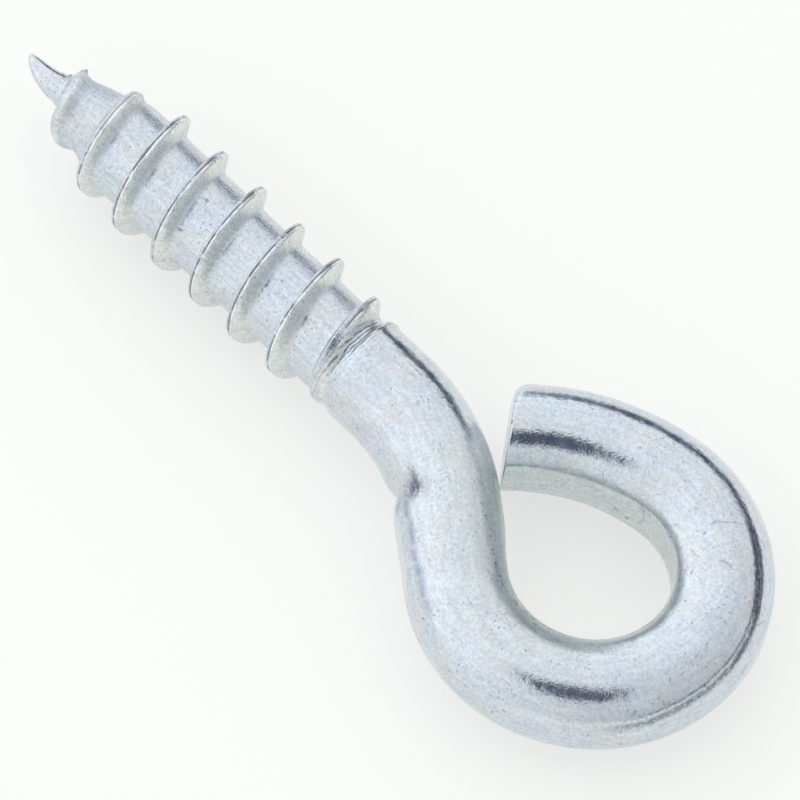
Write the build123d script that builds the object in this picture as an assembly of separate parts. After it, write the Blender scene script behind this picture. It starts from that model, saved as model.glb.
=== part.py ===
from build123d import *
from math import acos, atan2, cos, degrees, hypot, pi, radians, sin, sqrt, tan
import os

# Screw eye: one length of steel wire, with a rolled wood-screw thread and a bent open eye.
# Units are millimetres. The origin is the centre of the eye, +Z is the axis of the eye's hole
# and +X points along the shank to the screw point.

# Wire
wire_diameter = 6.35

# Eye
eye_inside_diameter = 9.525     # the mandrel that the eye is bent round
land_depth = 0.30               # how far the mandrel flattens the inside of the wire
loop_sweep = 227.0              # degrees of the eye that lie on the mandrel
tail_radius = 14.4              # centreline of the last stretch, which springs open a little
cut_angle = 10.0                # degrees off square of the sheared end
end_gap = 0.12                  # between the sheared end's inner corner and the neck

# Neck, which carries the shank back to the middle of the eye
neck_bend_radius = 11.3
neck_straight = 5.6             # between the neck's bend and the eye
shank_offset = 0.28             # of the shank's axis from the centre of the eye

# Shank
plain_shank_length = 2.55       # from the neck's bend to the shoulder
shoulder_length = 0.45          # cone from the wire down to the root of the thread
thread_length = 27.0            # from the shoulder to the end of the point

# Thread
thread_major_diameter = 7.56
thread_root_diameter = 5.7
thread_pitch = 3.12
crest_width = 0.24
ridge_width = 1.3               # of the ridge where it leaves the root
ridge_overlap = 0.25            # how deep the ridge is rooted in the core
thread_start_angle = 276.0      # degrees round the shank, from +Y towards +Z

# Gimlet point
point_length = 7.1
point_end_radius = 0.25
point_thread_start = 2.4        # from the end of the point to the first turn
first_turn_height = 0.38
full_height_after = 10.2        # from the end of the point to the first full turn
run_in = 1.2                    # axial length in which the first turn rises out of the point
run_out = 1.4                   # axial length in which the last turn sinks into the shoulder

steps_per_turn = 24

# Values that follow from those above
wire_radius = wire_diameter / 2
eye_radius = eye_inside_diameter / 2
loop_radius = eye_radius + wire_radius - land_depth
root_radius = thread_root_diameter / 2
crest_radius = thread_major_diameter / 2
bend_sum = neck_bend_radius + loop_radius
neck_start_x = sqrt(bend_sum**2 + neck_straight**2 - (shank_offset + neck_bend_radius) ** 2)
shoulder_x = neck_start_x + plain_shank_length
point_x = shoulder_x + thread_length
neck_centre = Vector(neck_start_x, shank_offset + neck_bend_radius)


def heading_vector(angle):
    """Unit vector of a travel direction in the plane of the eye."""
    return Vector(cos(angle), sin(angle))


def right_of(angle):
    """Unit vector to the right of a travel direction."""
    return Vector(sin(angle), -cos(angle))


# The route runs from the shank, back through the neck and round the eye to the sheared end.
to_eye = -neck_centre
neck_heading = atan2(to_eye.Y, to_eye.X) - atan2(bend_sum, neck_straight) + 2 * pi
neck_end = neck_centre - right_of(neck_heading) * neck_bend_radius
loop_start = right_of(neck_heading) * loop_radius
tail_heading = neck_heading + radians(loop_sweep)
tail_start = right_of(tail_heading) * loop_radius
tail_centre = right_of(tail_heading) * (loop_radius - tail_radius)


def tail_turn():
    """Angle that the tail turns through before its inner corner is end_gap from the neck."""
    inner_radius = tail_radius - wire_radius
    lead = wire_radius * tan(radians(cut_angle))
    to_neck = -right_of(neck_heading)
    room = (tail_centre - loop_start).dot(to_neck) - wire_radius - end_gap
    whole = 2 * pi - acos(room / hypot(inner_radius, lead)) - atan2(lead, inner_radius)
    return whole + neck_heading - tail_heading


tail_sweep = tail_turn()
end_heading = tail_heading + tail_sweep
end_centre = tail_centre + right_of(end_heading) * tail_radius


def straight_wire(start, end):
    """Round bar between two points of the route."""
    along = end - start
    return extrude(Plane(origin=start, z_dir=along) * Circle(wire_radius), along.length)


def bent_wire(centre, start, heading, sweep):
    """Round bar bent about centre: it leaves start in direction heading and turns by sweep."""
    axis = Axis(centre, (0, 0, 1 if sweep > 0 else -1))
    section = Plane(origin=start, z_dir=heading_vector(heading)) * Circle(wire_radius)
    return revolve(section, axis, degrees(abs(sweep)))


def core_radius(from_point):
    """Radius under the thread, at a distance from the end of the point."""
    share = min(1.0, from_point / point_length)
    return point_end_radius + (root_radius - point_end_radius) * share


def shank():
    """Plain shank, shoulder, thread root and gimlet point, turned about the shank's axis."""
    outline = Polyline(
        (neck_start_x, 0),
        (neck_start_x, wire_radius),
        (shoulder_x, wire_radius),
        (shoulder_x + shoulder_length, root_radius),
        (point_x - point_length, root_radius),
        (point_x - point_end_radius, point_end_radius),
    )
    nose = CenterArc((point_x - point_end_radius, 0), point_end_radius, 90, -90)
    axis_line = Line((point_x, 0), (neck_start_x, 0))
    half = make_face(outline + nose + axis_line)
    return Pos(0, shank_offset, 0) * revolve(half, Axis.X, 360)


def ridge_height(from_point):
    """Height of the thread over its core, with the run-in at the point."""
    full = crest_radius - root_radius
    if from_point < point_thread_start + run_in:
        share = (from_point - point_thread_start) / run_in
        return first_turn_height * share - ridge_overlap / 2 * (1 - share)
    rise = (from_point - point_thread_start - run_in) / (full_height_after - point_thread_start - run_in)
    return first_turn_height + (full - first_turn_height) * min(1.0, rise)


def ridge_crest(from_point):
    """Crest radius of the thread, which ends inside the plain shank."""
    crest = core_radius(from_point) + ridge_height(from_point)
    sink = max(0.0, (from_point - thread_length + run_out) / run_out)
    return crest + (wire_radius - ridge_overlap - crest) * min(1.0, sink)


def ridge_point(from_point, side, on_crest):
    """Point on one of the ridge's four long edges; side is -1 or 1 along the shank."""
    radius = ridge_crest(from_point) if on_crest else core_radius(from_point) - ridge_overlap
    half_width = (crest_width if on_crest else ridge_width) / 2
    turn = -2 * pi * (from_point - point_thread_start) / thread_pitch
    angle = radians(thread_start_angle) + turn
    x = point_x - from_point + side * half_width
    return Vector(x, shank_offset + radius * cos(angle), radius * sin(angle))


def ridge_edge(first, last, side, on_crest):
    """One long edge of the ridge, between two distances from the end of the point."""
    steps = max(4, round(steps_per_turn * (last - first) / thread_pitch))
    places = [first + (last - first) * i / steps for i in range(steps + 1)]
    nudge = thread_pitch / 2000
    points = [ridge_point(place, side, on_crest) for place in places]
    slopes = []
    for place in (first, last):
        ahead = ridge_point(place + nudge, side, on_crest)
        slopes.append(ahead - ridge_point(place - nudge, side, on_crest))
    return Edge.make_spline(points, tangents=slopes)


def ridge_length(first, last):
    """One length of the helical ridge: ruled strips between its long edges, and a flat cap at each end."""
    corners = [(-1, False), (-1, True), (1, True), (1, False)]
    edges = [ridge_edge(first, last, *corner) for corner in corners]
    next_edges = edges[1:] + edges[:1]
    faces = [Face.make_surface_from_curves(*pair) for pair in zip(edges, next_edges)]
    for place in (first, last):
        cap = [ridge_point(place, *corner) for corner in corners]
        faces.append(Face(Wire.make_polygon(cap, close=True)))
    return Solid(Shell(faces))


def threaded_shank():
    """The shank with its thread, added one half turn at a time from the point to the shoulder."""
    thread_span = thread_length + ridge_width / 2 - point_thread_start
    count = max(1, round(thread_span / thread_pitch * 2))
    stations = [point_thread_start + thread_span * i / count for i in range(count + 1)]
    body = shank()
    for first, last in zip(stations, stations[1:]):
        body = body + ridge_length(first, last)
    return body


def tail():
    """Last stretch of the wire, sheared off near the neck, cut_angle off square."""
    spare = wire_diameter / tail_radius
    bar = bent_wire(tail_centre, tail_start, tail_heading, tail_sweep + spare)
    facing = heading_vector(end_heading - radians(cut_angle))
    scrap = extrude(Plane(origin=end_centre, z_dir=facing) * Circle(wire_diameter), wire_diameter * 2)
    return bar - scrap


def bent_end():
    """Neck and eye, with the flat that the mandrel leaves inside the eye."""
    neck_bend = bent_wire(neck_centre, Vector(neck_start_x, shank_offset), pi, neck_heading - pi)
    neck = straight_wire(neck_end, loop_start)
    loop = bent_wire(Vector(0, 0), loop_start, neck_heading, radians(loop_sweep))
    return neck_bend + neck + loop + tail() - Cylinder(eye_radius, wire_diameter * 2)


os.makedirs("parts", exist_ok=True)
screw_eye = threaded_shank() + bent_end()
export_step(screw_eye, "parts/screw_eye.step")
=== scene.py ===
from math import acos, atan2, cos, hypot, pi, radians, sin, sqrt, tan
import bpy
import numpy as np
from mathutils import Matrix, Vector


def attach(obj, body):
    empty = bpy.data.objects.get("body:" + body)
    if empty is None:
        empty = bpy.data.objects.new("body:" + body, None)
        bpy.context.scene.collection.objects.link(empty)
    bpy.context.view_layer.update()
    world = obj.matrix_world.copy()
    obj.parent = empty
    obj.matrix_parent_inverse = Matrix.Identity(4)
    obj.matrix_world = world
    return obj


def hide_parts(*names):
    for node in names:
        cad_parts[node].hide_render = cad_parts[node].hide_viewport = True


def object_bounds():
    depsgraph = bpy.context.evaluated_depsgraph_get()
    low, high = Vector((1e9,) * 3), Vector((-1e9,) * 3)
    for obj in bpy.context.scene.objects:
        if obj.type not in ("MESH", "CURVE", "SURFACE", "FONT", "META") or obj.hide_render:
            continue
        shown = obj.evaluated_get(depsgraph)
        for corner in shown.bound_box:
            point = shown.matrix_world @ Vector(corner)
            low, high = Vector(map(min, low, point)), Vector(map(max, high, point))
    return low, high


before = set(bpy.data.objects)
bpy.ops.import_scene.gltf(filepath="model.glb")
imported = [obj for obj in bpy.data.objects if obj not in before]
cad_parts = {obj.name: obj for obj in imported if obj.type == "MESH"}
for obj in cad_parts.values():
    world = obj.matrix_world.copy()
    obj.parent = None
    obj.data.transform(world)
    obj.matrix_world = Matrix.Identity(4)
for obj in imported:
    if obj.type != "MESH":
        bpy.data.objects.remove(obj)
cad_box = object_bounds()

# The screw eye's look: one closed skin over the bent wire, in millimetres until it becomes a mesh.
# A place on the skin is "along", the distance from the tip of the point along the wire, and
# "around", the angle about the wire. Around is 0 on the outside of the eye and pi on its inside,
# and runs from +Y towards +Z on the shank.

MM = 0.001

# Sizes of the wire, eye, neck and shank
wire_radius = 3.175
eye_radius = 4.7625
land_depth = 0.30               # flat that the mandrel leaves inside the eye
tail_land_depth = 0.25
loop_sweep = radians(227.0)
tail_radius = 14.4
cut_angle = radians(10.0)
end_gap = 0.12
neck_bend_radius = 11.3
neck_straight = 5.6
shank_offset = 0.28
plain_shank_length = 2.55
thread_length = 27.0

# Sizes of the thread, whose pitch and start are a closer reading of the photograph than the CAD's
root_radius = 2.85
full_height = 0.92
thread_pitch = 3.165
thread_start = 2.07
thread_start_angle = radians(276.0)
crest_centre = -0.08            # middle of the crest's flat top, from the helix
crest_half_width = 0.13
crest_lean = 0.22               # towards the point
seam_depth = 0.022              # where the rolled metal meets on the crest
shoulder_start = 26.42          # along, where the root rises to the full wire

# Sizes of the point, whose end is pinched to a bent fang
point_length = 7.1
cone_end_radius = 0.25
fang_length = 2.9
fang_bend = 0.20
tip_stretch = 0.36              # the fang's end stands this far past the CAD solid's
spike_height = 0.34             # of the sharp start of the thread
burr_depth = 0.11

# Places around the wire
upper_edge = radians(158)       # of the shank, in the photograph
spike_angle = radians(163)
burr_angle = radians(150)
folds_angle = radians(120)
pinch_angle = radians(-5)
hollow_angle = radians(43)
# The lilac line is a painted reflection of the horizon, put where that reflection falls on the neck.
horizon_line_angle = radians(32.3)     # where the lilac line begins

# Depths of the marks that bending and shearing left
pinch_depth = 0.56
hollow_depth = 0.22
die_line_depth = 0.040
end_dish = 0.05

# Mesh
columns = 144                   # vertices around the wire
rows_per_turn = 36
thread_zone = 28.2              # along, where the skin's rows stop following the thread
row_spacing = 0.24
end_zone = 0.9                  # length before the sheared end whose rows are closer together
end_rows = (0.7, 0.52, 0.38, 0.26, 0.17, 0.10, 0.05, 0.015, 0.0)
end_face_rings = (0.94, 0.84, 0.70, 0.54, 0.38, 0.22, 0.10)


# ---------------------------------------------------------------- route of the wire

def heading_vector(angle):
    return np.stack([np.cos(angle), np.sin(angle)], -1)


def right_of(angle):
    return np.stack([np.sin(angle), -np.cos(angle)], -1)


loop_radius = eye_radius + wire_radius - land_depth
bend_sum = neck_bend_radius + loop_radius
neck_x = sqrt(bend_sum**2 + neck_straight**2 - (shank_offset + neck_bend_radius) ** 2)
neck_centre = np.array([neck_x, shank_offset + neck_bend_radius])
neck_heading = atan2(-neck_centre[1], -neck_centre[0]) - atan2(bend_sum, neck_straight) + 2 * pi
tail_heading = neck_heading + loop_sweep
tail_centre = right_of(tail_heading) * (loop_radius - tail_radius)


def tail_turn():
    """Angle that the tail turns through before its inner corner is end_gap from the neck."""
    inner_radius = tail_radius - wire_radius
    lead = wire_radius * tan(cut_angle)
    to_neck = -right_of(neck_heading)
    room = (tail_centre - right_of(neck_heading) * loop_radius) @ to_neck - wire_radius - end_gap
    turn = 2 * pi - acos(room / hypot(inner_radius, lead)) - atan2(lead, inner_radius)
    return turn - loop_sweep


tail_sweep = tail_turn()
shank_end = thread_length + plain_shank_length
bend_end = shank_end + neck_bend_radius * (pi - neck_heading)
loop_begin = bend_end + neck_straight
loop_end = loop_begin + loop_radius * loop_sweep
wire_length = loop_end + tail_radius * tail_sweep
pinch_place = bend_end - 0.85
hollow_place = pinch_place + 1.15


def route(along):
    """Centre of the wire and its heading, in the plane of the eye."""
    heading = np.full(along.shape, pi)
    heading = heading - np.clip((along - shank_end) / neck_bend_radius, 0, pi - neck_heading)
    heading = heading + np.clip((along - loop_begin) / loop_radius, 0, loop_sweep)
    heading = heading + np.clip((along - loop_end) / tail_radius, 0, None)
    tip = np.array([neck_x + shank_end, shank_offset])
    on_shank = tip - np.stack([along, 0 * along], -1)
    on_bend = neck_centre - right_of(heading) * neck_bend_radius
    loop_start = right_of(neck_heading) * loop_radius
    on_neck = loop_start + heading_vector(heading) * (along - loop_begin)[..., None]
    on_loop = right_of(heading) * loop_radius
    centre = tail_centre + right_of(heading) * tail_radius
    centre = np.where((along < loop_end)[..., None], on_loop, centre)
    centre = np.where((along < loop_begin)[..., None], on_neck, centre)
    centre = np.where((along < bend_end)[..., None], on_bend, centre)
    centre = np.where((along < shank_end)[..., None], on_shank, centre)
    return centre, heading


# ---------------------------------------------------------------- blends

def smooth(low, high, value):
    """0 below low and 1 above high, with an even slope between."""
    share = np.clip((value - low) / (high - low), 0, 1)
    return share * share * (3 - 2 * share)


def span(value, start, full, fade, end):
    """1 between full and fade, and 0 before start and after end."""
    return smooth(start, full, value) * (1 - smooth(fade, end, value))


def bump(value, centre, width):
    return np.exp(-(((value - centre) / width) ** 2))


def turn_gap(around, centre):
    """Signed angle from centre, between -pi and pi."""
    return (around - centre + pi) % (2 * pi) - pi


def angle_bump(around, centre, width):
    return bump(turn_gap(around, centre), 0, width)


def facing(around, centre):
    """1 at the angle centre, and 0 on the opposite side of the wire."""
    return 0.5 + 0.5 * np.cos(turn_gap(around, centre))


def soft_max(a, b, blend):
    """The larger of two values, rounded over where they are within about blend of each other."""
    gap = np.clip(0.5 + (a - b) / (2 * blend), 0, 1)
    return b + (a - b) * gap + blend * gap * (1 - gap)


def soft_min(a, b, blend):
    return -soft_max(-a, -b, blend)


def wave(along, around, seed, length, turns):
    """Gentle unevenness, the same each run: a few sine waves along and around the wire."""
    rng = np.random.default_rng(seed)
    total = np.zeros(np.broadcast(along, around).shape)
    for _ in range(9):
        phase = rng.uniform(0, 2 * pi)
        rate = rng.uniform(0.4, 1.6) * 2 * pi / length
        lobes = rng.integers(0, turns + 1)
        total = total + np.sin(along * rate + lobes * around + phase)
    return total / 3


# ---------------------------------------------------------------- thread and point

def crest_gap(along, around):
    """Distance along the shank from the nearest turn of the helix, positive towards the eye."""
    helix = thread_start + thread_pitch * (thread_start_angle - around) / (2 * pi)
    along = along + 0.30 * (1 - smooth(3.8, 7.5, along))
    return (along - helix + thread_pitch / 2) % thread_pitch - thread_pitch / 2


def ridge_height(along, around):
    """Height of the thread over its root: low and round on the point, then full, then run out."""
    stations = [2.0, 2.7, 4.0, 6.4, 8.0, 9.7, 24.4, 25.4, 26.3, 27.2]
    heights = [0.0, 0.34, 0.60, 0.68, 0.76, full_height, full_height, 0.72, 0.42, 0.0]
    height = np.interp(along, stations, heights)
    worn = 0.50 * angle_bump(around, upper_edge, 0.65) * (1 - smooth(3.8, 4.8, along))
    spike = spike_height * bump(along, 2.85, 0.30) * angle_bump(around, spike_angle, 0.17)
    low_side = 0.16 * angle_bump(around, upper_edge, 0.8) * bump(along, 6.3, 1.0)
    return height * (1 - worn) + spike - low_side


def ridge_shape(along, around, gap):
    """Share of the ridge's height at a distance from its crest: a thin crest on steep flanks."""
    broad = 1.0 - smooth(4.5, 8.5, along)
    spike = broad * angle_bump(around, radians(165), 0.40)
    front = 0.20 + 0.10 * broad
    back = 0.22 + 0.25 * broad
    reach = np.where(gap < crest_centre, front, back) - 0.24 * spike
    reach = reach + 0.10 * smooth(24.5, 26.5, along)
    power = 3.6 - 1.0 * broad
    away = np.maximum(np.abs(gap - crest_centre) - crest_half_width, 0)
    shape = 1 / (1 + (away / reach) ** power)
    farthest = thread_pitch / 2 + crest_centre - crest_half_width
    half = 1 / (1 + (farthest / reach) ** power)
    return np.maximum(shape - half, 0) / (1 - half)


def first_turn_front(around):
    """Where the first turn of the thread starts to stand out from the fang, at each angle."""
    start = np.degrees(thread_start_angle)
    angle = np.degrees(around) - 360 * (np.degrees(around) > start)
    angles = [start - 360, -26, 64, 158, 200, start]
    return np.interp(angle, angles, [4.5, 4.25, 3.40, 2.68, 2.60, 4.5])


def core_radius(along, around):
    """Radius under the thread, from the flattened fang of the tip to the shoulder."""
    fang = 0.56 * np.sqrt(np.clip(along + tip_stretch, 0, None))
    cone = cone_end_radius + (root_radius - cone_end_radius) * along / point_length
    front = first_turn_front(around)
    point = fang + (cone - fang) * smooth(front - 0.55, front - 0.05, along)
    core = soft_min(point, root_radius, 0.12) - 0.15 * bump(along, 6.0, 0.9)
    upper = facing(around, upper_edge) ** 2
    start = shoulder_start + 0.35 * (1 - upper) + 0.05 * np.sin(9 * around) * upper
    step = smooth(start, start + 0.22 + 0.8 * (1 - upper), along)
    return core + (wire_radius - root_radius) * step


def shoulder_lip(along, around):
    """Rough collar that the rolling dies pushed up at the end of the thread."""
    upper = facing(around, upper_edge) ** 2
    ragged = 1 + 0.30 * wave(along, around, 3, 1.2, 9)
    lip = 0.10 * bump(along, 26.90, 0.24) * upper * ragged
    fold = 0.05 * bump(along, 27.15 + 0.06 * np.sin(5 * around), 0.10) * upper
    return lip - fold


def thread_radius(along, around):
    gap = crest_gap(along, around)
    height = ridge_height(along, around) * (1 + 0.035 * wave(along, around, 5, 5.0, 3))
    ridge = height * ridge_shape(along, around, gap)
    seam = seam_depth * bump(gap, -0.05, 0.035) * span(along, 6, 9, 25, 26)
    beats = np.sin(along * 2.3) + np.sin(7 * around + 2) + np.sin(3 * around)
    nicks = 0.09 * bump(beats, -2.6, 0.35) * bump(gap, 0.0, 0.14) * smooth(5, 8, along)
    return core_radius(along, around) + ridge - seam - nicks + shoulder_lip(along, around)


def bend_the_fang(along, around, outward, upward):
    """Flatten the tip and bend it to one side of the shank's axis, with a ragged burr at its root."""
    front = first_turn_front(around)
    near_tip = 1 - smooth(front - 1.0, front + 0.2, along)
    upward = upward * (1 - 0.25 * near_tip)
    share = np.clip(along + tip_stretch, 0, fang_length) / fang_length
    outward = outward + 0.22 * np.sin(share * pi) ** 0.7
    outward = outward - fang_bend * (1 - share) ** 1.3
    burr = burr_depth * bump(along, 2.25, 0.42) * angle_bump(around, burr_angle, 0.55)
    outward = outward - burr * (0.4 + np.sin(along * 17 + around * 5))
    return outward, upward


# ---------------------------------------------------------------- eye and neck

def flats(along):
    """Depth of the flat on the inside of the eye, and of the one that the bender left outside it."""
    inside = land_depth * smooth(loop_begin - 4.2, loop_begin - 0.5, along)
    inside = inside + (tail_land_depth - land_depth) * smooth(loop_end - 2, loop_end + 3, along)
    outside = 0.15 * bump(along, bend_end + 3.4, 2.9)
    outside = outside + 0.11 * bump(along, loop_begin + 23.5, 4.0)
    outside = outside + 0.05 * bump(along, loop_begin + 14.0, 3.0)
    return inside, outside


def neck_hollow(along, around):
    """Teardrop that the bending tool pressed beside its pinch, pointed towards the shank."""
    lengthwise = along - hollow_place
    length = np.where(lengthwise < 0, 1.45, 0.55)
    width = 0.25 - 0.08 * np.clip(-lengthwise, 0, 1.6)
    return np.exp(-((lengthwise / length) ** 2) - (turn_gap(around, hollow_angle) / width) ** 2)


def die_line(along, around):
    """Long shallow line that the bending die scored round the outside of the eye."""
    from_neck = along - loop_begin
    stations = [9.0, 13.3, 15.0, 17.9, 19.8, 21.5, 22.5, 25.0]
    place = np.radians(np.interp(from_neck, stations, [20, 25, 31, 36, 41, 48, 52, 57]))
    return angle_bump(around, place, 0.075) * span(from_neck, 10.5, 13.5, 23.5, 26.0)


def press_the_eye(along, around, outward, upward):
    """The eye's flats with their sharp edges, the drawn-in tail, and the marks of the bending tool."""
    drawn_in = 0.055 * smooth(loop_end + 1.5, wire_length, along)
    outward = outward * (1 - drawn_in * (outward > 0))
    inside, outside = flats(along)
    land = inside - wire_radius + 0.05 * upward**2
    outward = np.where(inside > 0.003, soft_max(outward, land, 0.02), outward)
    cap = wire_radius - outside
    outward = np.where(outside > 0.004, soft_min(outward, cap, 0.02), outward)
    pinch = bump(along, pinch_place, 0.90) * angle_bump(around, pinch_angle, 0.62)
    outward = outward - pinch_depth * pinch
    outward = outward - hollow_depth * neck_hollow(along, around)
    return outward - die_line_depth * die_line(along, around)


def skin(along, around):
    """Points of the skin in millimetres, for arrays of places along and around the wire."""
    centre, heading = route(along)
    radius = np.where(along < thread_zone, thread_radius(along, around), wire_radius)
    radius = radius + 0.010 * wave(along, around, 11, 9.0, 3) * smooth(8, 14, along)
    outward = radius * np.cos(around)
    upward = radius * np.sin(around)
    outward, upward = bend_the_fang(along, around, outward, upward)
    outward = press_the_eye(along, around, outward, upward)

    # The ridge leans towards the point, and the tail is sheared off at an angle.
    gap = crest_gap(along, around)
    lean = ridge_height(along, around) * ridge_shape(along, around, gap) ** 2
    forward = -crest_lean * np.where(along < thread_zone - 1, lean, 0)
    sheared = smooth(wire_length - 4.5, wire_length, along)
    forward = forward - outward * tan(cut_angle) * sheared

    side = right_of(heading) * outward[..., None]
    ahead = heading_vector(heading) * forward[..., None]
    return np.concatenate([centre + side + ahead, upward[..., None]], -1)


def round_the_end(points, along, around):
    """Roll the rim of the sheared end over: a large radius outside, a small one inside."""
    outer = np.clip(np.cos(turn_gap(around, radians(20))), 0, 1) ** 2
    size = 0.16 + 0.62 * outer
    to_end = np.clip(wire_length - along, 0, size)
    sink = size - np.sqrt(np.clip(size**2 - (size - to_end) ** 2, 0, None))
    sink = sink * (wire_length - along < size)
    middle = np.concatenate([route(along)[0], np.zeros((len(along), 1))], -1)
    spoke = points - middle
    length = np.linalg.norm(spoke, axis=1, keepdims=True)
    return points - spoke / np.maximum(length, 0.01) * sink[:, None]


# ---------------------------------------------------------------- mesh

def thread_rows():
    """Places along at which the rows cross around = 0, close together on each crest."""
    share = (np.arange(rows_per_turn) - rows_per_turn / 2) / (rows_per_turn / 2)
    offsets = np.sign(share) * np.abs(share) ** 1.5 * thread_pitch / 2
    crest = thread_start + thread_pitch * thread_start_angle / (2 * pi)
    first = -int(crest / thread_pitch) - 1
    last = int((thread_zone + thread_pitch - crest) / thread_pitch) + 2
    return np.concatenate([crest + thread_pitch * turn + offsets for turn in range(first, last)])


def ring_of(start):
    return list(range(start, start + columns))


def next_round(ring):
    return ring[1:] + ring[:1]


def band(before, ring):
    """Faces between two rings of vertices."""
    corners = zip(before, ring, next_round(ring), next_round(before))
    return [list(face) for face in corners]


def threaded_part(angles):
    """Places and faces of the rows that follow the thread, cut off square at both ends."""
    low = 0.02 - tip_stretch
    rows = thread_rows()
    places = [(low, a) for a in angles] + [(thread_zone, a) for a in angles]
    index = {}

    def vertex(row, column):
        if column == columns:
            row, column = max(row - rows_per_turn, 0), 0
        along = rows[row] - thread_pitch * column / columns
        if along <= low:
            return column
        if along >= thread_zone:
            return columns + column
        if (row, column) not in index:
            index[row, column] = len(places)
            places.append((along, angles[column]))
        return index[row, column]

    faces = []
    for row in range(len(rows) - 1):
        for column in range(columns):
            corners = [vertex(row, column), vertex(row + 1, column)]
            corners += [vertex(row + 1, column + 1), vertex(row, column + 1)]
            loop = [c for i, c in enumerate(corners) if c != corners[i - 1]]
            if len(set(loop)) >= 3:
                faces.append(loop)
    return places, faces


def add_plain_wire(places, faces, angles):
    """Rings along the plain wire, closer together at the sheared end. Returns the last ring."""
    end_start = wire_length - end_zone
    count = round((end_start - thread_zone) / row_spacing)
    stations = list(np.linspace(thread_zone, end_start, count + 1)[1:])
    stations += [wire_length - left for left in end_rows]
    before = ring_of(columns)
    for along in stations:
        ring = ring_of(len(places))
        places.extend((along, a) for a in angles)
        faces.extend(band(before, ring))
        before = ring
    return before


def sheared_face(rim, rim_points, first, angles):
    """Points, places and faces that close in from the rim on the middle of the sheared face."""
    middle = rim_points.mean(0)
    end_heading = route(np.array([wire_length]))[1][0] - cut_angle
    normal = np.append(heading_vector(end_heading), 0)
    points, places, faces = [], [], []
    before = rim
    for share in end_face_rings:
        uneven = wave(share * 6 + 0 * angles, angles, 21, 2.0, 5) * 4 * share
        dish = (end_dish + 0.02 * uneven) * (1 - share)
        ring = ring_of(first + len(points))
        points.extend(middle + (rim_points - middle) * share - normal * dish[:, None])
        places.extend((wire_length + 1 - share, a) for a in angles)
        faces.extend(band(before, ring))
        before = ring
    centre = first + len(points)
    points.append(middle - normal * end_dish)
    places.append((wire_length + 1, 0.0))
    faces.extend([a, centre, b] for a, b in zip(before, next_round(before)))
    return points, places, faces


def build_skin():
    """The whole skin: its points, its faces, and each point's place along and around the wire."""
    angles = 2 * pi * np.arange(columns) / columns
    places, faces = threaded_part(angles)
    rim = add_plain_wire(places, faces, angles)
    along, around = np.array(places).T
    points = round_the_end(skin(along, around), along, around)
    end = sheared_face(rim, points[rim], len(points), angles)
    end_points, end_places, end_faces = end

    tip = points[:columns].mean(0) + np.array([0.02, 0, 0])
    tip_index = len(points) + len(end_points)
    tip_ring = ring_of(0)
    faces += end_faces
    faces.extend([b, tip_index, a] for a, b in zip(tip_ring, next_round(tip_ring)))
    points = np.concatenate([points, np.array(end_points + [tip])])
    along, around = np.array(places + end_places + [(0.0, 0.0)]).T
    return points, faces, along, around


# ---------------------------------------------------------------- marks, painted shade, painted highlights and painted reflections that the material reads

def thread_marks(along, around):
    gap = crest_gap(along, around)
    crest = span(along, 4.5, 8, 25.6, 26.4)
    # Painted shade in the ragged burr at the fang's root.
    recess_shade = bump(along, 2.35, 0.32) * angle_bump(around, burr_angle, 0.6)
    return {
        # Painted shade in the crest's seam, and a painted highlight just beside it.
        "crest_seam_shade": bump(gap, -0.065, 0.050) * crest,
        "crest_highlight": bump(gap, 0.045, 0.045) * crest,
        # Painted creamy reflection on the eye-side flank of each ridge.
        "flank_sheen": bump(gap, 0.25, 0.15) * span(along, 2.5, 5, 26.5, 27.5),
        "fillet": bump(gap, 0.40, 0.24) * span(along, 2.5, 5, 26.0, 27.0),
        "threaded": span(along, 2.0, 4.0, 26.3, 27.3),
        "worn": span(along, 2.0, 3.5, 5.5, 8.5),
        # Painted shade of small folds in the collar at the thread's end.
        "fold_shade": bump(along, 26.55, 0.42) * facing(around, folds_angle) ** 2,
        # Painted shade in the burr, in the neck's hollow and in the die line's groove.
        "recess_shade": 0.9 * recess_shade + neck_hollow(along, around - 0.03) + 0.75 * die_line(along, around),
    }


def eye_marks(along, around):
    reach = 0.62 + 0.55 * (1 - smooth(loop_begin + 9, loop_begin + 14, along))
    inward = angle_bump(around, pi - reach + 0.62, reach)
    inward = inward * span(along, bend_end - 4.5, bend_end - 1, wire_length - 0.1, wire_length)
    flat_edge = np.clip(1.08 - 0.030 * (along - bend_end), 0.60, 1.08)
    # Painted shade along the crease at each edge of the flat inside the eye.
    crease = bump(np.abs(turn_gap(around, pi)), flat_edge, 0.032)
    crease = crease * span(along, bend_end - 1.5, bend_end + 1, loop_begin + 15, loop_begin + 19)
    # Painted reflection of the horizon: a thin lilac line where it falls on the neck.
    line = horizon_line_angle + radians(1.0) * (along - bend_end) + 0.02 * np.sin(2.1 * along)
    horizon_lilac = angle_bump(around, line, 0.085)
    horizon_lilac = horizon_lilac * span(along, bend_end + 0.3, bend_end + 1.1, loop_begin + 1.5, loop_begin + 2.4)
    return {"inner_side": inward, "flat_edge_shade": crease, "horizon_reflection_line": horizon_lilac}


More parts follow.
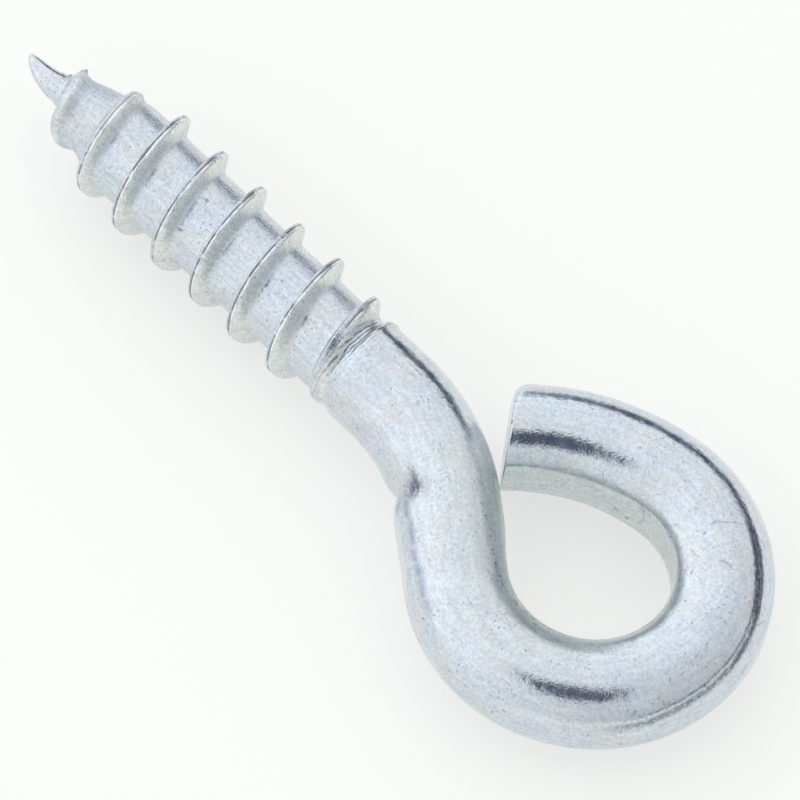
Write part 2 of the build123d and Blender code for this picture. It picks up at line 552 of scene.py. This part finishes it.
def make_screw_eye():
    points, faces, along, around = build_skin()
    mesh = bpy.data.meshes.new("screw_eye_skin")
    mesh.from_pydata((points * MM).tolist(), [], faces)
    mesh.validate()
    mesh.polygons.foreach_set("use_smooth", [True] * len(mesh.polygons))
    marks = {**thread_marks(along, around), **eye_marks(along, around)}
    for name, values in marks.items():
        layer = mesh.attributes.new(name, "FLOAT", "POINT")
        layer.data.foreach_set("value", values.astype(np.float32))
    across = [wire_radius * np.cos(around), wire_radius * np.sin(around)]
    straight = np.stack([along, *across], -1) * MM
    layer = mesh.attributes.new("straight_wire", "FLOAT_VECTOR", "POINT")
    layer.data.foreach_set("vector", straight.astype(np.float32).ravel())
    obj = bpy.data.objects.new("screw_eye_skin", mesh)
    bpy.context.scene.collection.objects.link(obj)
    return obj


# ---------------------------------------------------------------- materials

class Nodes:
    """Short calls for building a node tree."""

    def __init__(self, tree):
        self.tree = tree
        tree.nodes.clear()

    def add(self, kind, inputs=None, **settings):
        node = self.tree.nodes.new(kind)
        for name, value in settings.items():
            setattr(node, name, value)
        for name, value in (inputs or {}).items():
            self.put(node.inputs[name], value)
        return node

    def put(self, socket, value):
        if isinstance(value, bpy.types.NodeSocket):
            self.tree.links.new(value, socket)
        else:
            socket.default_value = value

    def math(self, operation, a, b=0.0, clamp=False):
        settings = {"operation": operation, "use_clamp": clamp}
        return self.add("ShaderNodeMath", {0: a, 1: b}, **settings).outputs[0]

    def times(self, a, b):
        return self.math("MULTIPLY", a, b)

    def noise(self, where, scale, detail=3.0, roughness=0.5):
        inputs = {"Vector": where, "Scale": scale, "Detail": detail, "Roughness": roughness}
        return self.add("ShaderNodeTexNoise", inputs).outputs["Fac"]

    def ramp(self, value, low, high, out_low=0.0, out_high=1.0):
        inputs = {"Value": value, "From Min": low, "From Max": high}
        inputs.update({"To Min": out_low, "To Max": out_high})
        return self.add("ShaderNodeMapRange", inputs, interpolation_type="SMOOTHSTEP").outputs[0]

    def mix(self, share, a, b, blend="MIX"):
        node = self.add("ShaderNodeMix", data_type="RGBA", blend_type=blend)
        self.put(node.inputs[0], share)
        self.put(node.inputs[6], a)
        self.put(node.inputs[7], b)
        return node.outputs[2]

    def attribute(self, name):
        return self.add("ShaderNodeAttribute", attribute_name=name).outputs["Fac"]


# Colours of the plating, its marks, and its painted shade, highlights and reflections
blue = (0.640, 0.705, 0.770, 1)
warm = (0.690, 0.700, 0.710, 1)
pink = (0.690, 0.685, 0.735, 1)
# Colour of the painted reflection on the eye-side flank of each ridge
flank_sheen_cream = (0.800, 0.825, 0.770, 1)
pale_green = (0.680, 0.735, 0.715, 1)
slate = (0.205, 0.235, 0.290, 1)
# Colour of the painted shade in recesses and along the flat's edges
shade_ink = (0.038, 0.056, 0.098, 1)
# Painted shade in the crest's seam, and the painted highlight beside it
seam_shade_dark = (0.07, 0.08, 0.11, 1)
seam_highlight_white = (0.93, 0.94, 0.95, 1)
# Colour of the painted shade in the collar's folds
fold_shade_dark = (0.09, 0.12, 0.15, 1)
# Colour of the painted reflection of the horizon on the neck
horizon_lilac = (0.30, 0.34, 0.50, 1)

fold_rate = 30000.0             # radians per metre along the wire
metal_share = 0.93              # the rest is the milky passivate
smoothest = 0.08                # roughness of the plating, without its dull places
roughest = 0.18


def tinted_plate(n, where, wire):
    """Broad tints of the passivate, greenish inside the eye, a painted creamy reflection on the
    eye-side flank of each ridge, and a milky grain.
    """
    colour = n.mix(n.ramp(n.noise(where, 520, 3), 0.42, 0.66, 0, 0.7), blue, warm)
    colour = n.mix(n.ramp(n.noise(where, 760, 2), 0.52, 0.72, 0, 0.4), colour, pink)
    # Painted creamy reflection on the eye-side flank of each ridge.
    colour = n.mix(n.times(n.attribute("flank_sheen"), 0.85), colour, flank_sheen_cream)
    colour = n.mix(n.times(n.attribute("inner_side"), 0.8), colour, pale_green)
    stretch = {0: wire, 1: (0.16, 1, 1)}
    lengthwise = n.add("ShaderNodeVectorMath", stretch, operation="MULTIPLY").outputs[0]
    cloud = n.ramp(n.noise(where, 4200, 4, 0.75), 0.34, 0.66, 0.88, 1.09)
    streak = n.ramp(n.noise(lengthwise, 3200, 3, 0.6), 0.32, 0.70, 0.93, 1.05)
    shade = n.times(cloud, streak)
    grey = n.add("ShaderNodeCombineColor", {0: shade, 1: shade, 2: shade}).outputs[0]
    return n.mix(1.0, colour, grey, "MULTIPLY")


def with_specks(n, where, colour):
    """Fine dark specks in patches, a few larger ones, and hair-thin scratches on the plain wire."""
    threaded = n.attribute("threaded")
    specks = n.ramp(n.noise(where, 5200, 2, 0.6), 0.59, 0.68, 0, 0.60)
    patches = n.ramp(n.noise(where, 620, 3), 0.42, 0.62)
    patches = n.math("MAXIMUM", patches, n.times(threaded, 0.5))
    colour = n.mix(n.times(specks, patches), colour, slate)
    spots = n.ramp(n.noise(where, 1900, 1, 0.5), 0.755, 0.785, 0, 0.7)
    colour = n.mix(spots, colour, slate)
    ways = n.math("SUBTRACT", n.noise(where, 205, 0.6), 0.56)
    hair = n.ramp(n.math("ABSOLUTE", ways), 0.003, 0.008, 1, 0)
    gate = n.ramp(n.noise(where, 780, 2), 0.58, 0.63, 0, 0.40)
    hair = n.times(hair, n.times(gate, n.math("SUBTRACT", 1.0, threaded)))
    return n.mix(hair, colour, slate)


def with_marks(n, where, wire, colour):
    """Marks at known places, most of them painted light: painted shade in the crest's seam with a
    painted highlight beside it, painted shade in the shoulder's folds, in the burrs, the neck's hollow
    and the die line, and along the flats' edges, and a painted reflection of the horizon on the neck.
    """

    def broken(name, scale, roughness, *limits):
        """A mark with gaps in it: noise of this scale and roughness, ramped between the limits."""
        return n.times(n.attribute(name), n.ramp(n.noise(where, scale, 3, roughness), *limits))

    # Painted shade in the crest's seam, then a painted highlight beside it.
    colour = n.mix(broken("crest_seam_shade", 1100, 0.5, 0.38, 0.50, 0.1, 1.0), colour, seam_shade_dark)
    colour = n.mix(broken("crest_highlight", 1300, 0.5, 0.42, 0.56), colour, seam_highlight_white)
    lengthwise = n.add("ShaderNodeSeparateXYZ", {"Vector": wire}).outputs["X"]
    warp = n.times(n.noise(where, 900, 3, 0.6), 9.0)
    # Painted shade of the collar's small folds: dark stripes across the wire.
    waves = n.math("SINE", n.math("ADD", n.times(lengthwise, fold_rate), warp))
    collar = n.math("MULTIPLY", n.attribute("fold_shade"), 1.6, clamp=True)
    fold_shade = n.times(n.ramp(waves, 0.25, 0.8), collar)
    fold_shade = n.times(fold_shade, n.ramp(n.noise(where, 1500, 3, 0.6), 0.36, 0.52))
    colour = n.mix(n.times(fold_shade, 0.95), colour, fold_shade_dark)
    # Painted shade in the burr, the neck's hollow and the die line.
    colour = n.mix(n.times(broken("recess_shade", 4600, 0.7, 0.30, 0.52), 0.9), colour, shade_ink)
    # Painted shade along the edges of the flat inside the eye.
    colour = n.mix(n.times(broken("flat_edge_shade", 2600, 0.7, 0.50, 0.60), 0.85), colour, shade_ink)
    # Painted reflection of the horizon on the neck.
    return n.mix(broken("horizon_reflection_line", 1500, 0.7, 0.30, 0.62, 0.25, 0.85), colour, horizon_lilac)


def uneven_surface(n, where, patches):
    """Normal of the plating: a fine grain, deeper on the thread, then patches, then a slow swell."""
    grain_depth = n.math("ADD", 0.04 * MM, n.times(n.attribute("threaded"), 0.08 * MM))
    grain = {"Height": n.noise(where, 7800, 2, 0.6), "Strength": 0.26, "Distance": grain_depth}
    fine = n.add("ShaderNodeBump", grain).outputs[0]
    patchwork = {"Height": patches, "Strength": 0.20, "Distance": 0.08 * MM, "Normal": fine}
    middle = n.add("ShaderNodeBump", patchwork).outputs[0]
    swell = {"Height": n.noise(where, 420, 3), "Strength": 0.28, "Distance": 0.20 * MM}
    return n.add("ShaderNodeBump", {**swell, "Normal": middle}).outputs[0]


def uneven_gloss(n, patches):
    """Roughness of the plating, duller inside the eye, at the thread's root and on its worn start."""
    gloss = n.ramp(patches, 0.3, 0.7, smoothest, roughest)
    dull = n.math("MAXIMUM", n.times(n.attribute("threaded"), 0.25), n.attribute("inner_side"))
    dull = n.times(n.math("MAXIMUM", dull, n.attribute("fillet")), 0.24)
    dull = n.math("ADD", dull, n.times(n.attribute("worn"), 0.30))
    return n.math("ADD", gloss, dull)


def zinc_plate():
    """Bright zinc with a clear blue passivate."""
    material = bpy.data.materials.new("bright_zinc_plate")
    material.use_nodes = True
    n = Nodes(material.node_tree)
    where = n.add("ShaderNodeTexCoord").outputs["Object"]
    wire = n.add("ShaderNodeAttribute", attribute_name="straight_wire").outputs["Vector"]
    colour = tinted_plate(n, where, wire)
    colour = with_specks(n, where, colour)
    colour = with_marks(n, where, wire, colour)
    patches = n.noise(where, 1900, 3, 0.6)
    shader = n.add("ShaderNodeBsdfPrincipled", {
        "Base Color": colour,
        "Metallic": metal_share,
        "Roughness": uneven_gloss(n, patches),
        "Normal": uneven_surface(n, where, patches),
    })
    n.add("ShaderNodeOutputMaterial", {"Surface": shader.outputs[0]})
    return material


# ---------------------------------------------------------------- studio and camera

# The picture: where the camera stands and what it looks at, in the object's frame
to_camera = Vector((-0.2695, 0.388, 0.0))
to_camera.z = sqrt(1 - to_camera.x**2 - to_camera.y**2)
camera_distance = 1.6           # metres
picture_centre = Vector((15.44, 0.042, 0))
picture_width = 46.16           # millimetres
shank_slope = radians(43.14)    # of the shank, down to the right in the picture
sensor_width = 36

# The light tent. Places and sizes in it are cosines of the angle from a direction.
tent_white = (0.970, 0.990, 1.010, 1)
tent_dark = (0.015, 0.035, 0.095, 1)
bright_side = Vector((0.95, 0.15, 0.20))
tent_brightest = 1.26
tent_dimmest = 0.66
opening_centre = (0.04, -0.03)  # right and up from the camera's direction
opening_size = (0.32, 0.275)
gap_direction = (-0.53, -0.85, 0)
gap_top = 0.055
gap_climb = 0.245               # of its top edge, towards climb_direction
climb_direction = (0.50, -0.866, 0)

# The table
table_colour = (0.45, 0.45, 0.44, 1)
table_roughness = 0.8
table_glow = (0.985, 1.0, 0.965, 1)
glow_strength = 0.56
table_size = 1.5                # metres, half of its side


def image_axes():
    """World directions of the picture's right and up."""
    towards_eye = Vector((-1, 0, 0))
    across_shank = (towards_eye - to_camera * towards_eye.dot(to_camera)).normalized()
    below_shank = across_shank.cross(to_camera)
    if below_shank.y < 0:
        below_shank = -below_shank
    right = across_shank * cos(shank_slope) - below_shank * sin(shank_slope)
    down = across_shank * sin(shank_slope) + below_shank * cos(shank_slope)
    return right, -down


def make_camera():
    right, up = image_axes()
    place = picture_centre * MM + to_camera * camera_distance
    camera = bpy.data.cameras.new("camera")
    camera.sensor_width = sensor_width
    camera.lens = sensor_width * camera_distance / (picture_width * MM)
    camera.clip_start = 0.01
    camera.clip_end = 50
    obj = bpy.data.objects.new("camera", camera)
    turn = Matrix((right, up, to_camera)).transposed()
    obj.matrix_world = Matrix.Translation(place) @ turn.to_4x4()
    bpy.context.scene.collection.objects.link(obj)
    bpy.context.scene.camera = obj


def make_floor(height):
    mesh = bpy.data.meshes.new("floor")
    sides = [(-1, -1), (1, -1), (1, 1), (-1, 1)]
    corners = [(x * table_size, y * table_size, height) for x, y in sides]
    mesh.from_pydata(corners, [], [(0, 1, 2, 3)])
    floor = bpy.data.objects.new("floor", mesh)
    bpy.context.scene.collection.objects.link(floor)
    material = bpy.data.materials.new("white_table")
    material.use_nodes = True
    n = Nodes(material.node_tree)
    shader = n.add("ShaderNodeBsdfPrincipled", {
        "Base Color": table_colour,
        "Roughness": table_roughness,
        "Emission Color": table_glow,
        "Emission Strength": glow_strength,
    })
    n.add("ShaderNodeOutputMaterial", {"Surface": shader.outputs[0]})
    mesh.materials.append(material)


def make_world():
    """A light tent, brightest beyond the point, with dark gaps: the camera's, and one low behind."""
    world = bpy.data.worlds.new("light_tent")
    bpy.context.scene.world = world
    world.use_nodes = True
    n = Nodes(world.node_tree)
    ray = n.add("ShaderNodeTexCoord").outputs["Generated"]

    def towards(direction, of=ray):
        """Cosine of the angle between a ray and a direction."""
        inputs = {0: of, 1: Vector(direction).normalized()}
        return n.add("ShaderNodeVectorMath", inputs, operation="DOT_PRODUCT").outputs["Value"]

    brightness = n.ramp(towards(bright_side), -1, 1, tent_dimmest, tent_brightest)
    brightness.node.interpolation_type = "LINEAR"

    # The opening for the camera, an ellipse
    squares = []
    for direction, centre, size in zip(image_axes(), opening_centre, opening_size):
        share = n.math("DIVIDE", n.math("SUBTRACT", towards(direction), centre), size)
        squares.append(n.times(share, share))
    spread = n.math("ADD", *squares)
    ahead = n.ramp(towards(to_camera), 0.0, 0.5)
    opening = n.times(n.ramp(spread, 0.75, 1.15, 1, 0), ahead)

    # The gap under the tent's far side, from the table up to an edge that climbs to one end
    level = n.add("ShaderNodeVectorMath", {0: ray, 1: (1, 1, 0)}, operation="MULTIPLY").outputs[0]
    level = n.add("ShaderNodeVectorMath", {0: level}, operation="NORMALIZE").outputs[0]
    beside = n.ramp(towards(gap_direction, level), cos(radians(84)), cos(radians(64)))
    climb = n.times(towards(climb_direction, level), gap_climb)
    edge = n.math("MAXIMUM", climb, gap_top)
    below = n.ramp(n.math("SUBTRACT", towards((0, 0, 1)), edge), 0.034, 0.068, 1, 0)
    low_gap = n.times(beside, below)

    shade = n.times(n.math("MAXIMUM", opening, low_gap), 0.97)
    colour = n.mix(shade, tent_white, tent_dark)
    background = n.add("ShaderNodeBackground", {"Color": colour, "Strength": brightness})
    n.add("ShaderNodeOutputWorld", {"Surface": background.outputs[0]})


bpy.context.scene.view_settings.view_transform = "Standard"
make_camera()
make_world()
skin_piece = make_screw_eye()
skin_piece.data.materials.append(zinc_plate())
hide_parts("screw_eye")
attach(skin_piece, "root")
make_floor(cad_box[0][2])
